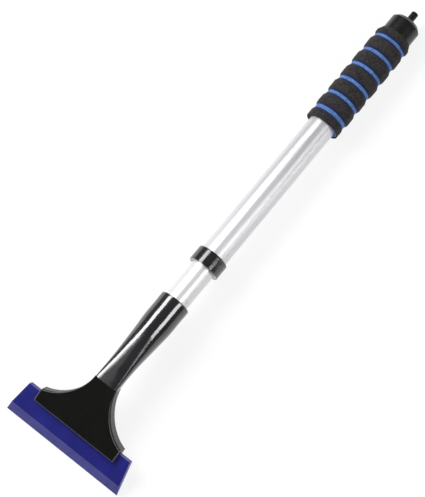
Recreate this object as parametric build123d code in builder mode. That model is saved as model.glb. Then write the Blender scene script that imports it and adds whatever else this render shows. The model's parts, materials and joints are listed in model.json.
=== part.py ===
from build123d import *
import bisect
import math
import os

# Windshield ice scraper: a soft blade clamped in a bent plastic head, on a two-stage
# telescopic aluminium handle with a twist lock, a foam grip and an end cap.
#
# The tool lies on its back on z = 0, front face up: it stands on the blade's sharp edge
# and on the far end of the grip. +X points from the blade to the end cap, +Y is to the
# left when looking from the grip to the blade, and the tool is the same on both sides
# of y = 0. The origin is on the surface, under the middle of the tool.
#
# Two working frames:
#   handle frame: u along the handle axis from the mouth of the socket to the end cap,
#                 w from the axis towards the front of the tool;
#   head frame:   h down the front plate from the crease to the blade's edge,
#                 d below the front plate's outer face.

# ---- driving dimensions, mm ---------------------------------------------------------

# head
HEAD_BEND = 27.0            # degrees that the head leans back from the handle
CREASE_U = -104.0           # where the plate meets the neck
CREASE_W = 9.5
PLATE_THICK = 4.0
JAW_THICK = 4.0
PLATE_LOW_H = 57.0          # lower edge of the plate and of the back jaw
WING_H = 44.0               # where the flared sides end in the straight wing ends
WING_HALF = 48.3
FAN_TOP_HALF = 12.5
FLARE_TOP = (0.7, 14.0)     # how the flare's curve leaves the top: outwards, down
FLARE_WING = (23.0, 37.5)   # and how it reaches the wing: back from its end, h
SEAM = 0.25                 # how far the plate stays inside the outline of the body
PLATE_CHAMFER = 0.5
CORING_R = (9.0, 5.0)       # hollow of the neck, at the end of the bore and at its own end
CORING_END_U = -80.0
CORING_END_W = 2.0

# blade
BLADE_THICK = 7.0
BLADE_TOP_H = 47.8
BLADE_EDGE_H = 84.0
BLADE_TOP_HALF = 61.4
BLADE_EDGE_HALF = 67.8
BEVEL_HIGH = 11.0
EDGE_LAND = 0.6

# screws that hold plate, blade and body together, (y, h) of each
SCREW_SPOTS = [(-36.0, 52.6), (0.0, 52.6), (36.0, 52.6), (0.0, 15.0)]
BOSS_R = 2.5
BOSS_HOLE_R = 1.3
BOSS_FIT_R = 2.7
SCREW_CLEAR_R = 1.6
SCREW_HEAD_R = 2.8
SCREW_HEAD_HIGH = 2.0
SCREW_SINK = 2.2
SCREW_SINK_R = 3.1
BOSS_GAP = 0.2              # between the bosses and the back jaw
BOSS_HOLE_STOP = 1.6        # depth below the plate's face of the holes' blind ends
SCREW_STOP = 2.4            # and of the screws' tips

# socket
SOCKET_R = 15.8
SOCKET_BORE_LONG = 34.0
MOUTH_BREAK = 0.6           # chamfer round the mouth
OVAL_POINTS = 32            # points round each section of the neck
OVAL_FINE = 7200            # points from which the evenly spaced ones are taken
RIVET_U = -17.0
RIVET_R = 2.0
RIVET_HEAD_R = 3.6
RIVET_HEAD_HIGH = 1.4
RIVET_ROUND = 0.6
RIVET_FIT = 0.2
RIVET_INSIDE = 2.0          # how far the rivet stands into the tube
RIVET_SEAT_W = 15.0         # depth of the flat seat, from the axis

# tubes: 28 x 1.2 over 25 x 1.2
OUTER_R = 14.0
INNER_R = 12.5
TUBE_WALL = 1.2
OUTER_TUBE = (44.0, 362.0)
INNER_TUBE = (-34.0, 268.0)

# collar on the mouth of the outer tube
COLLAR = (42.0, 58.0)
COLLAR_R = 16.5
COLLAR_ROUND = 1.4
COLLAR_CHAMFER = 0.3
GUIDE_GAP = 0.1

# grip: a blue foam core under seven black foam bands
GRIP = (228.0, 347.0)
CORE_R = 17.1
BAND_R = 18.8
BAND_COUNT = 7
GROOVE_FIRST = 239.4
GROOVE_PITCH = 19.2
GROOVE_WIDE = 4.4
BAND_ROUND = 0.9
GRIP_TAPER = 4.2
GRIP_END_R = 17.3

# end cap
CAP = (347.0, 367.0)
CAP_R = 16.0
CAP_DOME = 2.1
CAP_FLAT_R = 8.4
CAP_RIM_R = 13.0
CAP_RIM_LONG = 3.5
CAP_ROUND = 3.0
SPIGOT_WALL = 2.0
SPIGOT_LONG = 13.0
PEG_END = 380.4
PEG_R = 3.7
PEG_CHAMFER = 0.6
PEG_GROOVE = (377.6, 378.6)
PEG_GROOVE_R = 2.9
HANG_HOLE_R = 1.5
HANG_HOLE_U = 375.5

# twist lock at the top end of the inner tube
PLUG_LONG = 22.0
PLUG_FLANGE = 2.0
LOCK_FIT_R = 12.7           # slides in the outer tube
STUD_R = 4.0
STUD_FOOT = 252.0
STUD_END = 303.0
SLEEVE = (271.0, 296.0)
SLEEVE_BORE_R = 4.6
CONE_START = 282.0
CONE_SMALL_R = 6.4
CONE_LARGE_R = 9.6
CONE_GAP = 0.35
SLOT_WIDE = 2.6
SLOT_COUNT = 3
THREAD_GAP = 0.05
NUT_SHORT = 1.5
NUT_HEAD_LONG = 3.0
FIN_WIDE = 1.8
FIN_R = 11.6
RING = (274.0, 277.0)
RING_SEAT_R = 11.1
RING_R = 12.75
RING_ROUND = 0.6
CLIP = (300.4, 301.4)
CLIP_R = 6.2
CLIP_GROOVE_R = 3.2
CLIP_MOUTH = 5.2

SPARE = 4.0                 # how far a cutting shape runs past what it cuts

# ---- derived sizes and frames -------------------------------------------------------

BEND_SIN = math.sin(math.radians(HEAD_BEND))
BEND_COS = math.cos(math.radians(HEAD_BEND))
BORE_R = OUTER_R - TUBE_WALL
HEAD_THICK = PLATE_THICK + BLADE_THICK + JAW_THICK
BLADE_BACK = PLATE_THICK + BLADE_THICK


def head_to_handle(h, d):
    """Handle frame (u, w) of a point h down the head and d below the plate's face."""
    return (
        CREASE_U - h * BEND_COS + d * BEND_SIN,
        CREASE_W - h * BEND_SIN - d * BEND_COS,
    )


# The tool touches the surface at the back of the sharp edge and under the last band.
edge_u, edge_w = head_to_handle(BLADE_EDGE_H, BLADE_BACK)
heel_u, heel_w = GRIP[1] - GRIP_TAPER, -BAND_R
LEAN = math.atan2(heel_w - edge_w, heel_u - edge_u)
LEAN_SIN = math.sin(LEAN)
LEAN_COS = math.cos(LEAN)

tip_u, tip_w = head_to_handle(BLADE_EDGE_H, BLADE_BACK - EDGE_LAND)
REACH_BLADE = tip_u * LEAN_COS + tip_w * LEAN_SIN
REACH_PEG = PEG_END * LEAN_COS + (PEG_R - PEG_CHAMFER) * LEAN_SIN
ORIGIN_X = -(REACH_BLADE + REACH_PEG) / 2
ORIGIN_Z = edge_u * LEAN_SIN - edge_w * LEAN_COS


def at(u, w=0.0, y=0.0):
    """Row-frame point of a handle-frame position."""
    return Vector(
        ORIGIN_X + u * LEAN_COS + w * LEAN_SIN, y, ORIGIN_Z - u * LEAN_SIN + w * LEAN_COS
    )


ALONG = Vector(LEAN_COS, 0, -LEAN_SIN)
FRONT = Vector(LEAN_SIN, 0, LEAN_COS)
SIDE = Vector(0, 1, 0)
HANDLE_AXIS = Axis(at(0), ALONG)

# Lengthwise section: local x is u, local y is w.
SECTION = Plane(origin=at(0), x_dir=ALONG, z_dir=-SIDE)

# Face of the front plate: local x is y, local y is h, local z is towards the front.
HEAD_OUT = ALONG * -BEND_SIN + FRONT * BEND_COS
HEAD = Plane(origin=at(CREASE_U, CREASE_W), x_dir=SIDE, z_dir=HEAD_OUT)

RIVET_SEAT = Plane(origin=at(RIVET_U, -RIVET_SEAT_W), x_dir=SIDE, z_dir=FRONT * -1)


def across(u, w=0.0):
    """Cross-section of the handle at u: local x is y, local y is w."""
    return Plane(origin=at(u, w), x_dir=SIDE, z_dir=ALONG)


def leaning(u, w, lean):
    """Cross-section that leans back by lean degrees, part of the way to the head's bend."""
    turn = math.radians(lean)
    normal = ALONG * math.cos(turn) + FRONT * math.sin(turn)
    return Plane(origin=at(u, w), x_dir=SIDE, z_dir=normal)


def head_across(h, d):
    """Cross-section of the head at h: local x is y, local y is towards the front."""
    return Plane(origin=at(*head_to_handle(h, d)), x_dir=SIDE, z_dir=HEAD.y_dir * -1)


def sleeve(start, end, inner, outer):
    """Corners of a plain ring's section, as (u, radius)."""
    return [(start, inner), (end, inner), (end, outer), (start, outer)]


def rims(piece, radius):
    """Circular edges of one radius about the handle, in order along it."""
    circles = piece.edges().filter_by(GeomType.CIRCLE)
    return circles.filter_by(lambda edge: abs(edge.radius - radius) < 0.01).sort_by(HANDLE_AXIS)


os.makedirs("parts", exist_ok=True)


def save(piece, name):
    piece.part.label = name
    export_step(piece.part, f"parts/{name}.step")


# ---- head -----------------------------------------------------------------------------


def fan_outline(inset):
    """Outline of the head: a narrow top that flares into two straight-ended wings."""
    top_half = FAN_TOP_HALF - inset
    wing_half = WING_HALF - inset
    flare = [
        (top_half, 0),
        (top_half + FLARE_TOP[0], FLARE_TOP[1]),
        (wing_half - FLARE_WING[0], FLARE_WING[1]),
        (wing_half, WING_H),
    ]
    Bezier(*flare)
    Polyline(
        (wing_half, WING_H),
        (wing_half, PLATE_LOW_H),
        (-wing_half, PLATE_LOW_H),
        (-wing_half, WING_H),
    )
    Bezier(*[(-across_y, down) for across_y, down in reversed(flare)])
    Line((-top_half, 0), (top_half, 0))


def neck_outline(half_wide, front, back):
    """A closed oval. Its front and back halves each have a depth and a squareness: a circle
    or ellipse at squareness 2, nearer a rectangle above that. The points are evenly spaced
    along it, so that neighbouring sections of the loft correspond."""
    outline = [(0.0, front[0])]
    lengths = [0.0]
    for i in range(1, OVAL_FINE + 1):
        turn = 2 * math.pi * i / OVAL_FINE
        x, y = math.sin(turn), math.cos(turn)
        deep, squareness = front if y > 0 else back
        across_x = half_wide * math.copysign(abs(x) ** (2 / squareness), x)
        outline.append((across_x, deep * math.copysign(abs(y) ** (2 / squareness), y)))
        lengths.append(lengths[-1] + math.dist(outline[-2], outline[-1]))
    points = []
    for i in range(OVAL_POINTS):
        reach = lengths[-1] * i / OVAL_POINTS
        points.append(outline[bisect.bisect_left(lengths, reach)])
    Spline(*points, periodic=True)


# Sections from the mouth of the socket to the fan: plane, half width, then depth and
# squareness of the front and of the back.
ROUND = (SOCKET_R, 2.0)
FLAT = (HEAD_THICK / 2, 5.0)
NECK_SECTIONS = [(across(-u), SOCKET_R, ROUND, ROUND) for u in (0.0, 9.0, 18.0, 26.0)]
NECK_SECTIONS += [
    (across(-34.0), 15.4, (15.6, 2.0), (15.5, 2.0)),
    (across(-44.0, 0.2), 14.6, (14.9, 2.1), (14.7, 2.1)),
    (across(-56.0, 1.1), 13.8, (12.9, 2.3), (13.0, 2.2)),
    (across(-70.0, 2.2), 12.9, (10.5, 2.7), (11.3, 2.4)),
    (leaning(-84.0, 3.1, 5.0), 12.5, (8.2, 3.3), (9.8, 2.6)),
    (leaning(-94.0, 3.2, 15.0), 12.5, (7.2, 4.2), (8.4, 3.6)),
    (head_across(0.5, HEAD_THICK / 2), FAN_TOP_HALF, FLAT, FLAT),
]

with BuildPart() as head_body:
    for plane, half_wide, front, back in NECK_SECTIONS:
        with BuildSketch(plane):
            with BuildLine():
                neck_outline(half_wide, front, back)
            make_face()
    loft()
    with BuildSketch(HEAD.offset(-PLATE_THICK)):
        with BuildLine():
            fan_outline(0)
        make_face()
    extrude(amount=-(HEAD_THICK - PLATE_THICK))
    # rebate for the front plate
    with BuildSketch(HEAD.offset(-PLATE_THICK)):
        with BuildLine():
            fan_outline(-SPARE)
        make_face()
    extrude(amount=PLATE_THICK + SPARE, mode=Mode.SUBTRACT)
    # seat for the blade between the plate and the back jaw
    with BuildSketch(HEAD.offset(-PLATE_THICK)):
        with Locations((0, (BLADE_TOP_H + PLATE_LOW_H + SPARE) / 2)):
            Rectangle(3 * WING_HALF, PLATE_LOW_H + SPARE - BLADE_TOP_H)
    extrude(amount=-BLADE_THICK, mode=Mode.SUBTRACT)
    # bore for the inner tube, and the coring of the neck behind it
    with BuildSketch(across(0)):
        Circle(INNER_R)
    extrude(amount=-SOCKET_BORE_LONG, mode=Mode.SUBTRACT)
    with BuildSketch(across(-SOCKET_BORE_LONG)):
        Circle(CORING_R[0])
    with BuildSketch(across(CORING_END_U, CORING_END_W)):
        Circle(CORING_R[1])
    loft(mode=Mode.SUBTRACT)
    # screw seats: boss pocket, clearance hole, sunk head
    with BuildSketch(HEAD.offset(-PLATE_THICK)):
        with Locations(*SCREW_SPOTS):
            Circle(BOSS_FIT_R)
    extrude(amount=-BLADE_THICK, mode=Mode.SUBTRACT)
    with BuildSketch(HEAD.offset(-BLADE_BACK)):
        with Locations(*SCREW_SPOTS):
            Circle(SCREW_CLEAR_R)
    extrude(amount=-JAW_THICK, mode=Mode.SUBTRACT)
    with BuildSketch(HEAD.offset(-HEAD_THICK)):
        with Locations(*SCREW_SPOTS):
            Circle(SCREW_SINK_R)
    extrude(amount=SCREW_SINK, mode=Mode.SUBTRACT)
    # hole for the rivet through the back wall of the socket, with a flat seat
    with BuildSketch(RIVET_SEAT):
        Circle(RIVET_HEAD_R + RIVET_FIT)
    extrude(amount=SPARE, mode=Mode.SUBTRACT)
    with BuildSketch(RIVET_SEAT):
        Circle(RIVET_R)
    extrude(amount=-(RIVET_SEAT_W - INNER_R + SPARE), mode=Mode.SUBTRACT)
    # broken edge round the mouth
    with BuildSketch(SECTION):
        Polygon(
            (MOUTH_BREAK, SOCKET_R - 2 * MOUTH_BREAK),
            (MOUTH_BREAK, SOCKET_R + MOUTH_BREAK),
            (-2 * MOUTH_BREAK, SOCKET_R + MOUTH_BREAK),
            align=None,
        )
    revolve(axis=HANDLE_AXIS, mode=Mode.SUBTRACT)
save(head_body, "head_body")

with BuildPart() as front_plate:
    with BuildSketch(HEAD):
        with BuildLine():
            fan_outline(SEAM)
        make_face()
    extrude(amount=-PLATE_THICK)
    chamfer(front_plate.faces().sort_by(Axis(at(0), HEAD_OUT))[-1].edges(), PLATE_CHAMFER)
    with BuildSketch(HEAD.offset(-PLATE_THICK)):
        with Locations(*SCREW_SPOTS):
            Circle(BOSS_R)
    extrude(amount=-(BLADE_THICK - BOSS_GAP))
    with BuildSketch(HEAD.offset(-BLADE_BACK)):
        with Locations(*SCREW_SPOTS):
            Circle(BOSS_HOLE_R)
    extrude(amount=BLADE_BACK - BOSS_HOLE_STOP, mode=Mode.SUBTRACT)
save(front_plate, "front_plate")

with BuildPart() as blade:
    with BuildSketch(HEAD.offset(-PLATE_THICK)):
        with BuildLine():
            Polyline(
                (-BLADE_TOP_HALF, BLADE_TOP_H),
                (BLADE_TOP_HALF, BLADE_TOP_H),
                (BLADE_EDGE_HALF, BLADE_EDGE_H),
                (-BLADE_EDGE_HALF, BLADE_EDGE_H),
                close=True,
            )
        make_face()
    extrude(amount=-BLADE_THICK)
    # bevel on the front face, down to a narrow land at the sharp edge
    bevel = Plane(origin=HEAD.origin, x_dir=HEAD.y_dir, z_dir=SIDE)
    with BuildSketch(bevel):
        with BuildLine():
            Polyline(
                (BLADE_EDGE_H - BEVEL_HIGH, -PLATE_THICK),
                (BLADE_EDGE_H, -(BLADE_BACK - EDGE_LAND)),
                (BLADE_EDGE_H + 1, -(BLADE_BACK - EDGE_LAND)),
                (BLADE_EDGE_H + 1, -PLATE_THICK + 1),
                (BLADE_EDGE_H - BEVEL_HIGH, -PLATE_THICK + 1),
                close=True,
            )
        make_face()
    extrude(amount=2 * BLADE_EDGE_HALF, both=True, mode=Mode.SUBTRACT)
    with BuildSketch(HEAD.offset(-PLATE_THICK)):
        with Locations(*SCREW_SPOTS):
            Circle(BOSS_FIT_R)
    extrude(amount=-BLADE_THICK, mode=Mode.SUBTRACT)
save(blade, "blade")

with BuildPart() as head_screws:
    with BuildSketch(HEAD.offset(-(HEAD_THICK - SCREW_SINK))):
        with Locations(*SCREW_SPOTS):
            Circle(SCREW_HEAD_R)
    extrude(amount=-SCREW_HEAD_HIGH)
    with BuildSketch(HEAD.offset(-(HEAD_THICK - SCREW_SINK))):
        with Locations(*SCREW_SPOTS):
            Circle(BOSS_HOLE_R)
    extrude(amount=HEAD_THICK - SCREW_SINK - SCREW_STOP)
save(head_screws, "head_screws")

with BuildPart() as socket_rivet:
    with BuildSketch(RIVET_SEAT):
        Circle(RIVET_HEAD_R)
    extrude(amount=RIVET_HEAD_HIGH)
    fillet(socket_rivet.edges().sort_by(Axis(at(0), FRONT))[0], RIVET_ROUND)
    with BuildSketch(RIVET_SEAT):
        Circle(RIVET_R)
    extrude(amount=-(RIVET_SEAT_W - INNER_R + TUBE_WALL + RIVET_INSIDE))
save(socket_rivet, "socket_rivet")

# ---- tubes and collar ----------------------------------------------------------------

with BuildPart() as inner_tube:
    with BuildSketch(SECTION):
        Polygon(*sleeve(*INNER_TUBE, INNER_R - TUBE_WALL, INNER_R), align=None)
    revolve(axis=HANDLE_AXIS)
    with BuildSketch(RIVET_SEAT):
        Circle(RIVET_R)
    extrude(amount=-RIVET_SEAT_W, mode=Mode.SUBTRACT)
save(inner_tube, "inner_tube")

with BuildPart() as outer_tube:
    with BuildSketch(SECTION):
        Polygon(*sleeve(*OUTER_TUBE, BORE_R, OUTER_R), align=None)
    revolve(axis=HANDLE_AXIS)
save(outer_tube, "outer_tube")

with BuildPart() as collar:
    with BuildSketch(SECTION):
        Polygon(
            (COLLAR[0], INNER_R + GUIDE_GAP),
            (OUTER_TUBE[0], INNER_R + GUIDE_GAP),
            (OUTER_TUBE[0], OUTER_R),
            (COLLAR[1], OUTER_R),
            (COLLAR[1], COLLAR_R),
            (COLLAR[0], COLLAR_R),
            align=None,
        )
    revolve(axis=HANDLE_AXIS)
    fillet(rims(collar, COLLAR_R)[-1], COLLAR_ROUND)
    chamfer(rims(collar, COLLAR_R)[0], COLLAR_CHAMFER)
save(collar, "collar")

# ---- grip --------------------------------------------------------------------------------

with BuildPart() as grip_core:
    with BuildSketch(SECTION):
        Polygon(*sleeve(*GRIP, OUTER_R, CORE_R), align=None)
    revolve(axis=HANDLE_AXIS)
save(grip_core, "grip_core")

grooves = [GROOVE_FIRST + GROOVE_PITCH * i for i in range(BAND_COUNT - 1)]
band_starts = [GRIP[0]] + [groove + GROOVE_WIDE / 2 for groove in grooves]
band_ends = [groove - GROOVE_WIDE / 2 for groove in grooves] + [GRIP[1]]
for number, (start, end) in enumerate(zip(band_starts, band_ends), 1):
    outline = sleeve(start, end, CORE_R, BAND_R)
    if number == BAND_COUNT:
        # the last band tapers down to the end cap
        outline[2:3] = [(end, GRIP_END_R), (end - GRIP_TAPER, BAND_R)]
    with BuildPart() as band:
        with BuildSketch(SECTION):
            Polygon(*outline, align=None)
        revolve(axis=HANDLE_AXIS)
        fillet(rims(band, BAND_R), BAND_ROUND)
    save(band, f"grip_band_{number}")

# ---- end cap -----------------------------------------------------------------------------

with BuildPart() as end_cap:
    with BuildSketch(SECTION):
        Polygon(
            (CAP[0], OUTER_R),
            (OUTER_TUBE[1], OUTER_R),
            (OUTER_TUBE[1], BORE_R),
            (OUTER_TUBE[1] - SPIGOT_LONG, BORE_R),
            (OUTER_TUBE[1] - SPIGOT_LONG, BORE_R - SPIGOT_WALL),
            (OUTER_TUBE[1], BORE_R - SPIGOT_WALL),
            (OUTER_TUBE[1], 0),
            (PEG_END, 0),
            (PEG_END, PEG_R - PEG_CHAMFER),
            (PEG_END - PEG_CHAMFER, PEG_R),
            (PEG_GROOVE[1], PEG_R),
            (PEG_GROOVE[1], PEG_GROOVE_R),
            (PEG_GROOVE[0], PEG_GROOVE_R),
            (PEG_GROOVE[0], PEG_R),
            (CAP[1] + CAP_DOME, PEG_R),
            (CAP[1] + CAP_DOME, CAP_FLAT_R),
            (CAP[1], CAP_RIM_R),
            (CAP[1] - CAP_RIM_LONG, CAP_R),
            (CAP[0], CAP_R),
            align=None,
        )
    revolve(axis=HANDLE_AXIS)
    fillet(rims(end_cap, CAP_RIM_R) + rims(end_cap, CAP_FLAT_R), CAP_ROUND)
    with BuildSketch(Plane(origin=at(HANG_HOLE_U), x_dir=ALONG, z_dir=SIDE)):
        Circle(HANG_HOLE_R)
    extrude(amount=2 * PEG_R, both=True, mode=Mode.SUBTRACT)
save(end_cap, "end_cap")

# ---- twist lock --------------------------------------------------------------------------

plug_top = INNER_TUBE[1]
with BuildPart() as lock_plug:
    with BuildSketch(SECTION):
        Polygon(
            (plug_top - PLUG_LONG, STUD_R),
            (plug_top + PLUG_FLANGE, STUD_R),
            (plug_top + PLUG_FLANGE, LOCK_FIT_R),
            (plug_top, LOCK_FIT_R),
            (plug_top, INNER_R - TUBE_WALL),
            (plug_top - PLUG_LONG, INNER_R - TUBE_WALL),
            align=None,
        )
    revolve(axis=HANDLE_AXIS)
save(lock_plug, "lock_plug")

with BuildPart() as lock_stud:
    with BuildSketch(SECTION):
        Polygon(*sleeve(STUD_FOOT, STUD_END, 0, STUD_R), align=None)
        # groove for the retaining clip
        Polygon(*sleeve(*CLIP, CLIP_GROOVE_R, STUD_R + 1), align=None, mode=Mode.SUBTRACT)
    revolve(axis=HANDLE_AXIS)
save(lock_stud, "lock_stud")

with BuildPart() as expander_sleeve:
    with BuildSketch(SECTION):
        Polygon(
            (SLEEVE[0], SLEEVE_BORE_R),
            (CONE_START, SLEEVE_BORE_R),
            (CONE_START, CONE_SMALL_R),
            (SLEEVE[1], CONE_LARGE_R),
            (SLEEVE[1], LOCK_FIT_R),
            (SLEEVE[0], LOCK_FIT_R),
            align=None,
        )
        Polygon(*sleeve(*RING, RING_SEAT_R, LOCK_FIT_R + 1), align=None, mode=Mode.SUBTRACT)
    revolve(axis=HANDLE_AXIS)
    with BuildSketch(across(SLEEVE[1])):
        with PolarLocations(LOCK_FIT_R / 2 + 1, SLOT_COUNT):
            Rectangle(LOCK_FIT_R, SLOT_WIDE)
    extrude(amount=-(SLEEVE[1] - CONE_START + 1), mode=Mode.SUBTRACT)
save(expander_sleeve, "expander_sleeve")

with BuildPart() as drag_ring:
    with BuildSketch(SECTION):
        Polygon(*sleeve(*RING, RING_SEAT_R, RING_R), align=None)
    revolve(axis=HANDLE_AXIS)
    fillet(rims(drag_ring, RING_R), RING_ROUND)
save(drag_ring, "drag_ring")

cone_slope = (CONE_LARGE_R - CONE_SMALL_R) / (SLEEVE[1] - CONE_START)
nut_start = CONE_START + NUT_SHORT
nut_end = SLEEVE[1] + NUT_HEAD_LONG
nut_small_r = CONE_SMALL_R + NUT_SHORT * cone_slope - CONE_GAP
nut_large_r = CONE_LARGE_R - CONE_GAP
with BuildPart() as wedge_nut:
    with BuildSketch(SECTION):
        Polygon(
            (nut_start, STUD_R + THREAD_GAP),
            (nut_end, STUD_R + THREAD_GAP),
            (nut_end, nut_large_r),
            (SLEEVE[1], nut_large_r),
            (nut_start, nut_small_r),
            align=None,
        )
    revolve(axis=HANDLE_AXIS)
    # fins that ride in the slots of the sleeve and stop the nut from turning
    with BuildSketch(across(nut_end)):
        with PolarLocations((FIN_R + nut_small_r - 1) / 2, SLOT_COUNT):
            Rectangle(FIN_R - nut_small_r + 1, FIN_WIDE)
    extrude(amount=-(nut_end - nut_start))
save(wedge_nut, "wedge_nut")

with BuildPart() as stud_clip:
    with BuildSketch(across(CLIP[0])):
        Circle(CLIP_R)
        Circle(CLIP_GROOVE_R, mode=Mode.SUBTRACT)
        with Locations((0, CLIP_R / 2 + 1)):
            Rectangle(CLIP_MOUTH, CLIP_R + 2, mode=Mode.SUBTRACT)
    extrude(amount=CLIP[1] - CLIP[0])
save(stud_clip, "stud_clip")
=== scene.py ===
import json
import math

import bpy
from mathutils import Matrix, Vector, noise


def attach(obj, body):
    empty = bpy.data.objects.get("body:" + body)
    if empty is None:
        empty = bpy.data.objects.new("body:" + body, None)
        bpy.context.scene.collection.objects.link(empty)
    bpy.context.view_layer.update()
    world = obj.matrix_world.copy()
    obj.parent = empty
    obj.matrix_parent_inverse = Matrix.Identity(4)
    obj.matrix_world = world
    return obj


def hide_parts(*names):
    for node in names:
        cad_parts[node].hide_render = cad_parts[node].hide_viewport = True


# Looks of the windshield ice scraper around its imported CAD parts. Sizes are in metres, but the
# foam grip's section counts in millimetres and MM turns them into metres.
# The tool lies on the floor, front face up: +X runs from the blade to the hanging peg and
# +Y is to the left when looking from the grip to the blade.

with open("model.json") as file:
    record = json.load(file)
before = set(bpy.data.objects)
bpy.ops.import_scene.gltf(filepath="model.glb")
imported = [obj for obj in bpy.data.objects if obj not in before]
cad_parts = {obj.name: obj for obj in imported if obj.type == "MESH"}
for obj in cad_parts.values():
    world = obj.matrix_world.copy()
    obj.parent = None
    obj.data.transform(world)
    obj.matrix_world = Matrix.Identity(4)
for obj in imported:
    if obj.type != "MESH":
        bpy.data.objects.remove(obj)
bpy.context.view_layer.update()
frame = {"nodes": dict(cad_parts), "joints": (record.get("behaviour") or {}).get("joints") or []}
nodes = frame["nodes"]
MM = 0.001

# ---- working frames ---------------------------------------------------------------------
# Handle frame: x along the handle from the socket's mouth to the cap, y to the left,
# z towards the front. Head frame: x to the left, y down the blade, z out of the front plate.

twist_lock = next(joint for joint in frame["joints"] if joint["name"] == "twist_lock")
ALONG = -Vector(twist_lock["axis"]).normalized()
LEFT = Vector((0, 1, 0))
FRONT = ALONG.cross(LEFT)
HEAD_BEND = math.radians(27)
CREASE = Vector((-104, 0, 9.5)) * MM       # origin of the head frame, where plate meets neck
BLADE_HIGH = 84 * MM                       # from the crease down to the blade's edge
BLADE_FACE = -4 * MM                       # the blade's front, behind the plate's thickness
PLATE_LOW, PLATE_HALF = 57 * MM, 48.05 * MM    # the plate's lower edge and half its width


def placement(x_axis, y_axis, z_axis, origin):
    matrix = Matrix((x_axis, y_axis, z_axis)).transposed().to_4x4()
    matrix.translation = origin
    return matrix


HANDLE = placement(ALONG, LEFT, FRONT, Vector(twist_lock["pos_m"]))
HEAD_DOWN = ALONG * -math.cos(HEAD_BEND) - FRONT * math.sin(HEAD_BEND)
HEAD_OUT = FRONT * math.cos(HEAD_BEND) - ALONG * math.sin(HEAD_BEND)
HEAD = placement(LEFT, HEAD_DOWN, HEAD_OUT, HANDLE @ CREASE)

# ---- materials --------------------------------------------------------------------------


def tone(red, green, blue):
    """Linear colour of an 8-bit display colour."""
    linear = []
    for value in (red, green, blue):
        share = value / 255
        linear.append(share / 12.92 if share <= 0.04045 else ((share + 0.055) / 1.055) ** 2.4)
    return (*linear, 1.0)


class Finish:
    """A material: a Principled shader, and short ways to add the nodes that drive it."""

    def __init__(self, name, **values):
        self.material = bpy.data.materials.new(name)
        self.material.use_nodes = True
        self.nodes = self.material.node_tree.nodes
        self.links = self.material.node_tree.links
        self.shader = self.nodes["Principled BSDF"]
        for socket, value in values.items():
            self.shader.inputs[socket.replace("_", " ")].default_value = value

    def node(self, kind, inputs, output=0, **settings):
        made = self.nodes.new(kind)
        for name, value in settings.items():
            setattr(made, name, value)
        for socket, value in inputs.items():
            if isinstance(value, bpy.types.NodeSocket):
                self.links.new(value, made.inputs[socket])
            else:
                made.inputs[socket].default_value = value
        return made.outputs[output]

    def drive(self, socket, value):
        self.links.new(value, self.shader.inputs[socket])

    def place(self, matrix=None, size=(1, 1, 1)):
        """The piece's own coordinates, turned into a working frame and divided by size."""
        own = self.nodes.new("ShaderNodeTexCoord").outputs["Object"]
        inputs = {"Vector": own, "Scale": size}
        if matrix is not None:
            inputs["Location"] = matrix.to_translation()
            inputs["Rotation"] = matrix.to_euler()
        return self.node("ShaderNodeMapping", inputs, vector_type="TEXTURE")

    def noise(self, where, scale, detail=3.0, roughness=0.5, distortion=0.0):
        inputs = {
            "Vector": where,
            "Scale": scale,
            "Detail": detail,
            "Roughness": roughness,
            "Distortion": distortion,
        }
        return self.node("ShaderNodeTexNoise", inputs)

    def cells(self, where, scale):
        inputs = {"Vector": where, "Scale": scale}
        return self.node("ShaderNodeTexVoronoi", inputs, feature="F1")

    def map(self, value, low, high, to_low=0.0, to_high=1.0):
        inputs = {0: value, 1: low, 2: high, 3: to_low, 4: to_high}
        return self.node("ShaderNodeMapRange", inputs)

    def math(self, operation, a, b=0.0):
        return self.node("ShaderNodeMath", {0: a, 1: b}, operation=operation)

    def mix(self, share, a, b):
        return self.node("ShaderNodeMix", {0: share, 6: a, 7: b}, output=2, data_type="RGBA")

    def axis(self, where, letter):
        split = self.nodes.new("ShaderNodeSeparateXYZ")
        self.links.new(where, split.inputs[0])
        return split.outputs[letter]

    def bump(self, height, depth, strength=1.0, under=None):
        inputs = {"Height": height, "Distance": depth, "Strength": strength}
        if under is not None:
            inputs["Normal"] = under
        return self.node("ShaderNodeBump", inputs)

    def scratches(self, where, scale, share):
        """Fine broken lines: 1 on a line and 0 off it, where noise lets them through."""
        lines = self.map(self.noise(where, scale, 1.0, 0.3, 0.4), 0.5, 0.515, 1.0, 0.0)
        above = self.map(self.noise(where, scale, 1.0, 0.3, 0.4), 0.49, 0.5)
        patches = self.map(self.noise(where, scale * 0.23, 2.0), 0.62 - share, 0.66 - share)
        return self.math("MULTIPLY", self.math("MULTIPLY", lines, above), patches)


def gloss_black():
    """Moulded gloss plastic of the head: a slow ripple, fine grain and light handling marks. The
    neck is coated, and the body below the crease is satin."""
    f = Finish("gloss_black", Specular_IOR_Level=0.75, Coat_Roughness=0.05)
    where = f.place(HANDLE)
    long_ways = f.place(HANDLE, (6, 1, 1))
    below_crease = f.map(f.axis(f.place(HEAD), "Y"), -3 * MM, 3 * MM)
    f.drive("Coat Weight", f.map(below_crease, 0.0, 1.0, 0.6, 0.0))
    cloud = f.noise(where, 38, 4, 0.6)
    f.drive("Base Color", f.mix(f.map(cloud, 0.3, 0.7), tone(18, 16, 20), tone(30, 28, 33)))
    marks = f.scratches(long_ways, 900, 0.08)
    smear = f.map(f.noise(where, 120, 5, 0.65), 0.35, 0.75, 0.09, 0.2)
    satin = f.math("ADD", smear, f.math("MULTIPLY", below_crease, 0.3))
    f.drive("Roughness", f.math("ADD", satin, f.math("MULTIPLY", marks, 0.2)))
    ripple = f.bump(f.noise(where, 70, 2, 0.4), 0.00012, 0.5)
    grain = f.bump(f.noise(where, 2600, 3, 0.6), 0.000012, 0.5, ripple)
    f.drive("Normal", f.bump(marks, -0.00001, 0.6, grain))
    return f.material


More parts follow.
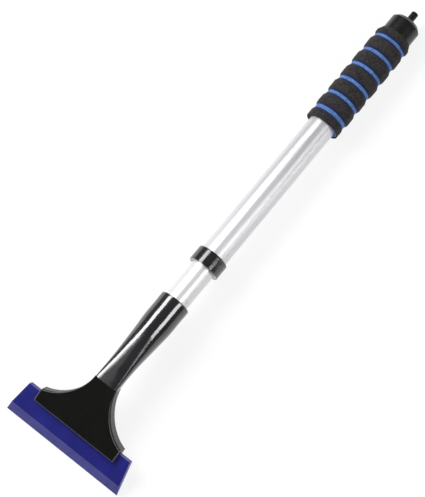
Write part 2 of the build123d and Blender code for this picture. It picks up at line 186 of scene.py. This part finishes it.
def matt_black():
    """Spark-eroded matt plastic of the clamp plate, with a pale highlight painted along its
    edges and the chamfer of its flare, which are also a little glossier."""
    f = Finish("matt_black", Specular_IOR_Level=0.16)
    where = f.place(HEAD)
    cloud = f.noise(where, 60, 4, 0.6)
    face = f.mix(f.map(cloud, 0.3, 0.7), tone(6, 6, 5), tone(14, 13, 11))
    low_edge = f.map(f.axis(where, "Y"), PLATE_LOW - 1.0 * MM, PLATE_LOW - 0.45 * MM)
    aside = f.math("ABSOLUTE", f.axis(where, "X"))
    end_edge = f.map(aside, PLATE_HALF - 0.9 * MM, PLATE_HALF - 0.45 * MM)
    chamfer = f.math(
        "MULTIPLY",
        f.map(f.axis(where, "Z"), -0.04 * MM, -0.12 * MM),
        f.map(f.axis(where, "Z"), -0.6 * MM, -0.5 * MM),
    )
    flare_edge = f.math("MULTIPLY", chamfer, f.map(f.axis(where, "Y"), 8 * MM, 20 * MM))
    edge = f.math("MAXIMUM", f.math("MAXIMUM", low_edge, end_edge), flare_edge)
    # painted highlight: this mask lays a pale, broken line on the plate's lower edge, its ends and
    # the flare's chamfer, where the edges catch the light; the same mask makes them a little
    # glossier
    rubbed = f.math("MULTIPLY", edge, f.map(f.noise(where, 180, 4, 0.6), 0.25, 0.6, 0.5, 1.0))
    f.drive("Base Color", f.mix(rubbed, face, tone(108, 107, 112)))
    grain = f.noise(where, 1500, 4, 0.7)
    marks = f.scratches(f.place(HEAD, (5, 1, 1)), 500, 0.1)
    dull = f.map(grain, 0.3, 0.7, 0.56, 0.74)
    worn = f.math("ADD", f.math("MULTIPLY", marks, 0.14), f.math("MULTIPLY", rubbed, 0.2))
    f.drive("Roughness", f.math("SUBTRACT", dull, worn))
    f.drive("Normal", f.bump(grain, 0.00005, 0.45, f.bump(marks, -0.00002, 0.5)))
    return f.material


def urethane():
    """Cast blue urethane: cloudy depth, and a ground bevel with grinding lines. The bevel is
    painted paler: partly the haze of its ground surface, partly a painted highlight, as it
    faces the lamps more squarely than the blade's face.
    """
    f = Finish("urethane_blue", Specular_IOR_Level=0.4, Sheen_Weight=0.08, Sheen_Roughness=0.5)
    where = f.place(HEAD)
    cloud = f.map(f.noise(where, 45, 4, 0.6), 0.3, 0.7)
    face = f.mix(cloud, tone(20, 22, 111), tone(29, 32, 131))
    down, out = f.axis(where, "Y"), f.axis(where, "Z")
    ground = f.math(
        "MULTIPLY",
        f.map(down, BLADE_HIGH - 11.4 * MM, BLADE_HIGH - 10.9 * MM),
        f.map(out, BLADE_FACE, BLADE_FACE - 0.15 * MM),
    )
    # partly painted highlight: the bevel's paler blue is partly the haze of the ground surface and
    # partly the light that the bevel catches
    f.drive("Base Color", f.mix(ground, face, f.mix(cloud, tone(52, 51, 142), tone(66, 65, 160))))
    lines = f.noise(f.place(HEAD, (0.02, 1, 1)), 60, 3, 0.7)
    fine = f.noise(where, 1100, 4, 0.65)
    dull = f.map(f.noise(where, 150, 4), 0.3, 0.7, 0.36, 0.5)
    f.drive("Roughness", f.math("ADD", dull, f.math("MULTIPLY", ground, 0.12)))
    cut = f.math("MULTIPLY", lines, ground)
    f.drive("Normal", f.bump(cut, 0.0003, 0.35, f.bump(fine, 0.00003, 0.5)))
    return f.material


def satin_aluminium(name, low, high):
    """Anodised drawn tube: drawing lines along it, faint clouding and a few nicks."""
    f = Finish(name, Metallic=0.5, Specular_IOR_Level=0.6, Anisotropic=0.3)
    where = f.place(HANDLE)
    lines = f.noise(f.place(HANDLE, (4.0, 0.004, 0.004)), 7, 4, 0.7)
    cloud = f.noise(f.place(HANDLE, (0.15, 0.012, 0.012)), 1, 2, 0.5)
    rubbed = f.scratches(f.place(HANDLE, (0.05, 0.0012, 0.0012)), 1.6, 0.08)
    shade = f.math("ADD", f.math("MULTIPLY", lines, 0.6), f.math("MULTIPLY", cloud, 0.4))
    f.drive("Base Color", f.mix(f.map(shade, 0.35, 0.65), low, high))
    dull = f.map(shade, 0.3, 0.7, 0.33, 0.44)
    f.drive("Roughness", f.math("SUBTRACT", dull, f.math("MULTIPLY", rubbed, 0.05)))
    nicks = f.map(f.cells(where, 420), 0.0, 0.05, 1.0, 0.0)
    drawn = f.bump(lines, 0.00003, 0.3)
    f.drive("Normal", f.bump(f.math("MULTIPLY", nicks, rubbed), -0.00001, 0.3, drawn))
    return f.material


def collar_black():
    """Gloss turned plastic of the collar, with faint lines round it."""
    f = Finish("collar_black", Specular_IOR_Level=0.75, Coat_Weight=0.5, Coat_Roughness=0.06)
    where = f.place(HANDLE)
    cloud = f.noise(where, 90, 4, 0.6)
    f.drive("Base Color", f.mix(f.map(cloud, 0.3, 0.7), tone(15, 15, 16), tone(27, 27, 28)))
    turned_lines = f.noise(f.place(HANDLE, (0.0005, 0.05, 0.05)), 1, 3, 0.6)
    f.drive("Roughness", f.map(cloud, 0.35, 0.7, 0.08, 0.16))
    f.drive("Normal", f.bump(turned_lines, 0.00002, 0.4, f.bump(cloud, 0.0001, 0.3)))
    return f.material


def cap_black():
    """Satin moulded plastic of the end cap."""
    f = Finish("cap_black", Specular_IOR_Level=0.55)
    where = f.place(HANDLE)
    cloud = f.noise(where, 110, 4, 0.6)
    f.drive("Base Color", f.mix(f.map(cloud, 0.3, 0.7), tone(8, 8, 9), tone(18, 18, 19)))
    grain = f.noise(where, 1800, 4, 0.65)
    f.drive("Roughness", f.map(grain, 0.3, 0.7, 0.22, 0.34))
    f.drive("Normal", f.bump(grain, 0.00004, 0.5, f.bump(cloud, 0.00012, 0.3)))
    return f.material


def foam(name, dark, light, pore, glow):
    """Closed-cell foam rubber: cells cut open at the ground surface, with paler walls. Gives the
    Finish itself, so that its colour can be built on."""
    f = Finish(name, Specular_IOR_Level=0.15, Sheen_Weight=glow, Sheen_Roughness=0.6)
    where = f.place()
    cell = f.cells(where, pore)
    small = f.cells(where, pore * 2.3)
    mottle = f.noise(where, 240, 5, 0.7)
    walls = f.math("ADD", f.math("MULTIPLY", cell, 0.6), f.math("MULTIPLY", small, 0.4))
    share = f.math("ADD", f.math("MULTIPLY", walls, 0.7), f.math("MULTIPLY", mottle, 0.9))
    f.drive("Base Color", f.mix(f.map(share, 0.58, 0.98), dark, light))
    f.drive("Roughness", f.map(mottle, 0.3, 0.7, 0.78, 0.95))
    f.drive("Normal", f.bump(walls, 0.0004, 0.8, f.bump(mottle, 0.0009, 0.7)))
    return f


def small_metal(name, low, high, roughness):
    """Plated or cast metal of the small hardware."""
    f = Finish(name, Metallic=1.0)
    where = f.place()
    cloud = f.noise(where, 400, 5, 0.65)
    f.drive("Base Color", f.mix(f.map(cloud, 0.3, 0.7), low, high))
    f.drive("Roughness", f.map(cloud, 0.3, 0.7, roughness, roughness + 0.16))
    f.drive("Normal", f.bump(f.noise(where, 2500, 3), 0.00002, 0.5))
    return f.material


def small_plastic(name, low, high, roughness):
    """Plain moulded plastic or rubber inside the handle."""
    f = Finish(name)
    where = f.place()
    cloud = f.noise(where, 300, 5, 0.6)
    f.drive("Base Color", f.mix(f.map(cloud, 0.3, 0.7), low, high))
    f.drive("Roughness", f.map(cloud, 0.3, 0.7, roughness, roughness + 0.15))
    f.drive("Normal", f.bump(f.noise(where, 1600, 4), 0.00003, 0.5))
    return f.material


def floor_pale():
    """A pale light table, so that the tool throws hardly any shadow."""
    f = Finish("floor_pale", Specular_IOR_Level=0.1)
    f.shader.inputs["Emission Color"].default_value = (1.0, 1.0, 1.0, 1.0)
    where = f.place()
    cloud = f.noise(where, 3, 4, 0.5)
    f.drive("Base Color", f.mix(cloud, tone(112, 112, 113), tone(116, 116, 116)))
    f.drive("Roughness", f.map(cloud, 0.3, 0.7, 0.85, 0.95))
    f.drive("Emission Strength", f.map(cloud, 0.2, 0.8, 0.83, 0.85))
    return f.material


GLOSS = gloss_black()
NYLON = small_plastic("nylon_natural", tone(205, 203, 194), tone(222, 220, 212), 0.4)
STEEL = small_metal("steel_zinc", tone(150, 152, 158), tone(196, 198, 204), 0.26)
FINISHES = {
    "head_body": GLOSS,
    "front_plate": matt_black(),
    "blade": urethane(),
    "head_screws": STEEL,
    "socket_rivet": small_metal("rivet_dull", tone(178, 179, 184), tone(214, 215, 219), 0.3),
    "inner_tube": satin_aluminium("aluminium_inner", tone(209, 209, 211), tone(228, 228, 229)),
    "outer_tube": satin_aluminium("aluminium_outer", tone(200, 199, 202), tone(220, 219, 222)),
    "collar": collar_black(),
    "end_cap": cap_black(),
    "lock_plug": NYLON,
    "lock_stud": NYLON,
    "expander_sleeve": NYLON,
    "drag_ring": small_plastic("rubber_dark", tone(28, 28, 28), tone(46, 45, 44), 0.6),
    "wedge_nut": small_metal("brass_cast", tone(176, 142, 78), tone(206, 174, 108), 0.3),
    "stud_clip": STEEL,
}
for name, finish in FINISHES.items():
    nodes[name].data.materials.clear()
    nodes[name].data.materials.append(finish)

# ---- foam grip --------------------------------------------------------------------------

GRIP_START, GRIP_END = 228.0, 347.0
TUBE_R = 14.0
CORE_R = 17.1
BAND_R = 18.8
BAND_COUNT = 7
FIRST_SWELL, BAND_SWELL = -0.3, 0.35   # added to BAND_R on band 1, and on the others
GROOVE_FIRST, GROOVE_PITCH = 239.4, 19.2
GRIP_TAPER, TAPER_SLOPE = 4.2, 0.36    # the last band narrows over its last millimetres
GRIP_STEPS = 220                       # points round each ring
FLOOR_HALVES = [1.8, 1.5, 1.5, 1.5, 1.5, 1.25]     # half the width of each groove's floor
FLOOR_SUNK = 17.45                     # radius of the floor
WALL_TOP = 18.6                        # radius at which a groove's blue walls meet the black
WALL_BACK, WALL_FRONT = 2.9, 2.3       # how far they lean outwards on the way up
BAND_ROUNDING = 1.2
BAND_STEPS, WALL_STEPS = 30, 8         # points across a band, and up a groove's wall
LIP_R, LIP_LONG = 14.15, 1.2           # black skin over the end of the blue layer
TEAR_START, TEAR_LONG = 0.3, 0.3       # where it is torn back, as shares of the radius to the right
END_SUNK = 0.5                         # how far the blue layer's end lies inside the skin

grooves = [GROOVE_FIRST + GROOVE_PITCH * i for i in range(BAND_COUNT - 1)]


def foam_blue():
    """The blue layer: its own bright blue on the floor of the grooves, and painted shade in
    dark blue on their cut walls, which lie in the shade of the black bands.
    """
    f = foam("foam_blue", tone(50, 86, 146), tone(98, 136, 198), 1500, 0.12)
    bright = f.shader.inputs["Base Color"].links[0].from_socket
    radius = f.node(
        "ShaderNodeVectorMath", {0: f.place(size=(1000, 1, 1))}, output=1, operation="LENGTH"
    )
    ragged = f.map(f.noise(f.place(), 500, 4, 0.6), 0.3, 0.7)
    foot = f.math("ADD", radius, f.math("MULTIPLY", ragged, 0.2 * MM))
    # painted shade: from a little above the groove floor up, the walls get a dark blue that stands
    # for the shade between the black bands
    wall = f.map(foot, (FLOOR_SUNK + 0.2) * MM, (FLOOR_SUNK + 0.4) * MM)
    painted_wall_shade = f.mix(ragged, tone(8, 16, 46), tone(22, 34, 76))
    f.drive("Base Color", f.mix(wall, bright, painted_wall_shade))
    return f.material


FOAM_BLACK = foam("foam_black", tone(4, 4, 4), tone(60, 57, 56), 1100, 0.06).material
FOAM_BLUE = foam_blue()


def turned(name, section, roughen):
    """A ring about the handle axis with this closed section of (u, radius) points, in mm.
    roughen(point, u, radius) says how far a surface point moves outwards, in mm."""
    verts, faces = [], []
    count = len(section)
    for step in range(GRIP_STEPS):
        angle = 2 * math.pi * step / GRIP_STEPS
        for u, radius in section:
            point = Vector((u, radius * math.cos(angle), radius * math.sin(angle)))
            grown = radius + roughen(point, u, radius)
            verts.append((u * MM, grown * math.cos(angle) * MM, grown * math.sin(angle) * MM))
    for step in range(GRIP_STEPS):
        following = (step + 1) % GRIP_STEPS
        for i in range(count):
            j = (i + 1) % count
            here, there = step * count, following * count
            faces.append((here + i, here + j, there + j, there + i))
    mesh = bpy.data.meshes.new(name)
    mesh.from_pydata(verts, [], faces)
    mesh.polygons.foreach_set("use_smooth", [True] * len(faces))
    mesh.update()
    piece = bpy.data.objects.new(name, mesh)
    piece.matrix_world = HANDLE
    bpy.context.scene.collection.objects.link(piece)
    return piece


def cellular(point, low, limit, amount):
    """Lumps and pores of foam rubber; none where the radius is at or under low."""
    if math.hypot(point.y, point.z) <= low:
        return 0.0
    lumps = noise.noise(point * 0.16) * 0.22
    pores = noise.noise(point * 1.3) * 0.1 + noise.noise(point * 2.9) * 0.06
    return min(limit, (lumps + pores) * amount)


def band_surface(point, u, radius):
    """The lumps and pores of every black band's ground surface."""
    return cellular(point, CORE_R, 0.12, 0.9)


def torn_back(point, u, radius):
    """The black skin at the grip's lower end reaches in to the tube, and is torn back on the
    right, where it bares the blue layer."""
    if u > GRIP_START + LIP_LONG + 0.1 or radius > LIP_R + 0.1:
        return band_surface(point, u, radius)
    aside = min(1.0, max(0.0, (-point.y / radius - TEAR_START) / TEAR_LONG))
    return (CORE_R - 0.1 - LIP_R) * aside * aside * (3 - 2 * aside)


def band_section(start, end, high):
    """Section of one black band: its rims start at the top of the blue walls, and the top
    is a little crowned. The first band starts with the lip."""
    foot = CORE_R - 0.35
    section = [(start + 0.3, foot), (start + 0.05, WALL_TOP - 0.5)]
    if start == GRIP_START:
        section = [(start + LIP_LONG, LIP_R), (start + 0.1, LIP_R), (start, WALL_TOP - 0.5)]
    for i in range(BAND_STEPS + 1):
        share = i / BAND_STEPS
        u = start + (end - start) * (0.5 - 0.5 * math.cos(math.pi * share))
        rim = max(0.0, 1 - min(u - start, end - u) / BAND_ROUNDING)
        crown = 0.12 * (2 * share - 1) ** 2
        drop = (high - WALL_TOP) * (1 - math.sqrt(max(0.0, 1 - rim * rim)))
        section.append((u, high - crown - drop))
    return section + [(end - 0.05, WALL_TOP - 0.5), (end - 0.3, foot)]


def wall_point(foot, top, rise):
    """A point on a groove's wall, from its foot at rise 0 to its top at rise 1."""
    u = foot + (top - foot) * rise
    return (u, FLOOR_SUNK + 0.1 + (WALL_TOP - FLOOR_SUNK - 0.15) * rise**0.8)


def core_surface(point, u, radius):
    """The blue layer is finer than the black, and smooth against the tube."""
    return cellular(point, TUBE_R + 0.9, 0.08, 0.5)


rims_back = [groove - half - WALL_BACK for groove, half in zip(grooves, FLOOR_HALVES)]
rims_front = [groove + half + WALL_FRONT for groove, half in zip(grooves, FLOOR_HALVES)]
starts, ends = [GRIP_START] + rims_front, rims_back + [GRIP_END]
for number, (start, end) in enumerate(zip(starts, ends), 1):
    swell = FIRST_SWELL if number == 1 else BAND_SWELL
    section = band_section(start, end, BAND_R + swell)
    if number == BAND_COUNT:
        taper_start = end - GRIP_TAPER
        section = [
            (u, radius)
            if u < taper_start
            else (u, min(radius, BAND_R - 0.3 - (u - taper_start) * TAPER_SLOPE))
            for u, radius in section
        ]
    band = turned(f"foam_band_{number}", section, torn_back if number == 1 else band_surface)
    band.data.materials.append(FOAM_BLACK)
    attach(band, "handle")
    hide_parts(f"grip_band_{number}")

# the blue layer: end face, floors of the grooves, and walls that lean up to the black rims
core_start = GRIP_START + END_SUNK
core_section = [(core_start + 0.1, TUBE_R), (core_start, TUBE_R + 0.4), (core_start, CORE_R - 0.5)]
core_section += [(core_start + 0.4, CORE_R - 0.1), (core_start + 1.2, CORE_R - 0.05)]
for groove, half, back, front in zip(grooves, FLOOR_HALVES, rims_back, rims_front):
    core_section.append((back - 1.2, CORE_R - 0.05))
    core_section.append((back - 0.5, WALL_TOP - 0.3))
    for i in range(WALL_STEPS):
        core_section.append(wall_point(groove - half, back, 1 - i / WALL_STEPS))
    for i in range(7):
        off = i / 3 - 1
        core_section.append((groove + half * off, FLOOR_SUNK + 0.1 * off * off))
    for i in range(1, WALL_STEPS + 1):
        core_section.append(wall_point(groove + half, front, i / WALL_STEPS))
    core_section.append((front + 0.5, WALL_TOP - 0.3))
    core_section.append((front + 1.2, CORE_R - 0.05))
core_section += [(GRIP_END - 0.4, CORE_R - 0.1), (GRIP_END, TUBE_R + 0.2), (GRIP_END - 0.1, TUBE_R)]
core = turned("foam_core", core_section, core_surface)
core.data.materials.append(FOAM_BLUE)
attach(core, "handle")
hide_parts("grip_core")

# ---- floor, light and camera ------------------------------------------------------------

FLOOR_R = 7.0
RIM_POINTS = 64
floor_mesh = bpy.data.meshes.new("floor")
turns = [2 * math.pi * i / RIM_POINTS for i in range(RIM_POINTS)]
rim = [(FLOOR_R * math.cos(turn), FLOOR_R * math.sin(turn), 0.0) for turn in turns]
floor_mesh.from_pydata(rim, [], [tuple(range(RIM_POINTS))])
floor_mesh.materials.append(floor_pale())
floor = bpy.data.objects.new("floor", floor_mesh)
floor.location.z = -0.2 * MM    # just under the lowest point of the CAD parts
bpy.context.scene.collection.objects.link(floor)

# the camera, from a fit to the photograph: how it leans towards the head, how far it stands to the
# right of the handle, and how it is turned about its own axis
VIEW_LEAN = math.radians(12.94)
VIEW_SIDE = math.radians(11.13)
VIEW_TURN = math.radians(39.78)
VIEW_DISTANCE = 1.81986
VIEW_AIM = Vector((63.5, 5.7, 0)) * MM
SENSOR = 36.0             # mm, along the frame's longer side
FOCAL_PX, FRAME_HIGH = 1898.07, 497

toward_camera = Vector(
    (
        -math.sin(VIEW_LEAN),
        -math.cos(VIEW_LEAN) * math.sin(VIEW_SIDE),
        math.cos(VIEW_LEAN) * math.cos(VIEW_SIDE),
    )
)


SOFTBOX_OFF = 1.1         # distance of every softbox from the handle's axis


def softbox(name, angle, spread, start, end, radiance):
    """An area light parallel to the handle, from u = start to end in metres, that shines at
    the axis. It stands angle degrees to the left of the camera's side of the handle and
    covers spread degrees."""
    long = end - start
    wide = 2 * SOFTBOX_OFF * math.tan(math.radians(spread / 2))
    light = bpy.data.lights.new(name, "AREA")
    light.shape = "RECTANGLE"
    light.size, light.size_y = long, wide
    light.energy = radiance * math.pi * long * wide
    turn = math.radians(angle) - VIEW_SIDE
    out = Vector((0, math.sin(turn), math.cos(turn)))
    along = Vector((1, 0, 0))
    lamp = bpy.data.objects.new(name, light)
    place = along * (start + end) / 2 + out * SOFTBOX_OFF
    lamp.matrix_world = HANDLE @ placement(along, out.cross(along), out, place)
    bpy.context.scene.collection.objects.link(lamp)


# name, angle, spread, start, end and radiance; in the camera's view the inner tube mirrors
# the stretch from u = 0.25 to 0.30, and the outer tube the stretch above that
SOFTBOXES = [
    ("neck_left", 52.6, 23, -0.3, 0.252, 11.5),
    ("inner_left", 48, 24, 0.252, 0.3, 8.5),
    ("outer_left", 46, 24, 0.3, 0.56, 6.0),
    ("neck_right", -32.6, 22, 0.054, 0.252, 8.8),
    ("neck_right_low", -32.6, 16, -0.3, 0.054, 1.2),
    ("inner_right", -36, 24, 0.252, 0.278, 9.5),
    ("outer_right", -31, 22, 0.345, 0.56, 2.5),
    ("tube_side", -78, 44, 0.335, 0.56, 4.4),
    ("wing", 72, 80, -0.2, -0.06, 5.2),
    ("wing_glow", 30, 18, -0.22, -0.06, 0.6),
]
for values in SOFTBOXES:
    softbox(*values)

WORLD_RIGHT, WORLD_LEFT = 0.15, 0.2    # strength of the plain white surroundings on each side
world = bpy.data.worlds.new("studio")
bpy.context.scene.world = world
world.use_nodes = True
sky = world.node_tree
background = sky.nodes["Background"]
direction = sky.nodes.new("ShaderNodeTexCoord").outputs["Generated"]
split = sky.nodes.new("ShaderNodeSeparateXYZ")
sky.links.new(direction, split.inputs[0])
side_share = sky.nodes.new("ShaderNodeMapRange")
sky.links.new(split.outputs["Y"], side_share.inputs[0])
for socket, value in enumerate((-1.0, 1.0, WORLD_RIGHT, WORLD_LEFT), 1):
    side_share.inputs[socket].default_value = value
sky.links.new(side_share.outputs[0], background.inputs["Strength"])
background.inputs["Color"].default_value = (1.0, 1.0, 1.0, 1.0)

cross_axis = Vector((1, 0, 0)) - toward_camera * toward_camera.x
cross_axis.normalize()
right_axis = cross_axis.cross(toward_camera)
image_x = right_axis * math.cos(VIEW_TURN) + cross_axis * math.sin(VIEW_TURN)
image_y = cross_axis * math.cos(VIEW_TURN) - right_axis * math.sin(VIEW_TURN)
camera_data = bpy.data.cameras.new("camera")
camera_data.lens = SENSOR * FOCAL_PX / FRAME_HIGH
camera = bpy.data.objects.new("camera", camera_data)
camera.matrix_world = HANDLE @ placement(
    image_x, image_y, toward_camera, VIEW_AIM + toward_camera * VIEW_DISTANCE
)
bpy.context.scene.collection.objects.link(camera)
bpy.context.scene.camera = camera
bpy.context.scene.view_settings.view_transform = "Standard"
